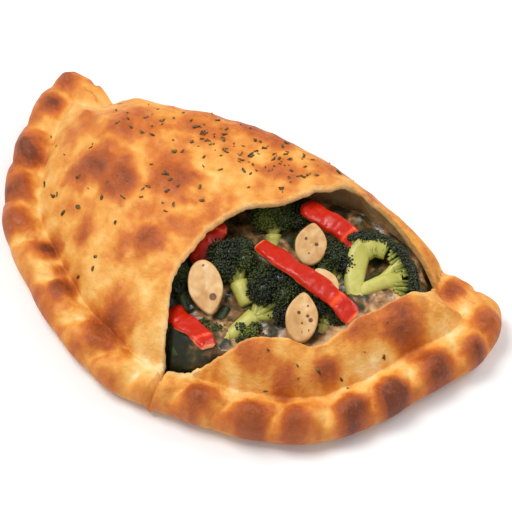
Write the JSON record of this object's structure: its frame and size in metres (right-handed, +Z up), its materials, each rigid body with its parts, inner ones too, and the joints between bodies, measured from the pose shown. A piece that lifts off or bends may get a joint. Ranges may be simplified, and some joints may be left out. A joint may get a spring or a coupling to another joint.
{
  "type": "calzone",
  "caption": "Folded half-moon calzone with a crimped rope edge, torn open at one side to show broccoli, red pepper strips and garlic slices on melted cheese",
  "frame": {"origin": "middle of the box's base, on the surface that the calzone stands on", "axes": "+X runs along the half-moon's length to the tip beside the torn window, +Y points to the straight fold at the back, +Z is up"},
  "size_m": [0.2619, 0.1496, 0.0455],
  "materials": {
    "crust": "golden baked dough with browned blisters, satin",
    "cheese": "melted cheese, soft uneven gloss",
    "broccoli": "roasted dark green crowns with pale green stems",
    "red_pepper": "cooked red skin, oily gloss",
    "garlic": "roasted cream flesh, satin",
    "herbs": "dried herb flakes, matte"
  },
  "bodies": {
    "root": {"crust": "crust", "filling": "cheese", "broccoli_1": "broccoli", "broccoli_2": "broccoli", "broccoli_3": "broccoli", "broccoli_4": "broccoli", "broccoli_5": "broccoli", "broccoli_6": "broccoli", "broccoli_7": "broccoli", "broccoli_8": "broccoli", "broccoli_9": "broccoli", "broccoli_10": "broccoli", "broccoli_11": "broccoli", "pepper_strip_1": "red_pepper", "pepper_strip_2": "red_pepper", "pepper_strip_3": "red_pepper", "pepper_strip_4": "red_pepper", "garlic_slice_1": "garlic", "garlic_slice_2": "garlic", "garlic_slice_3": "garlic", "garlic_slice_4": "garlic"}
  },
  "joints": []
}
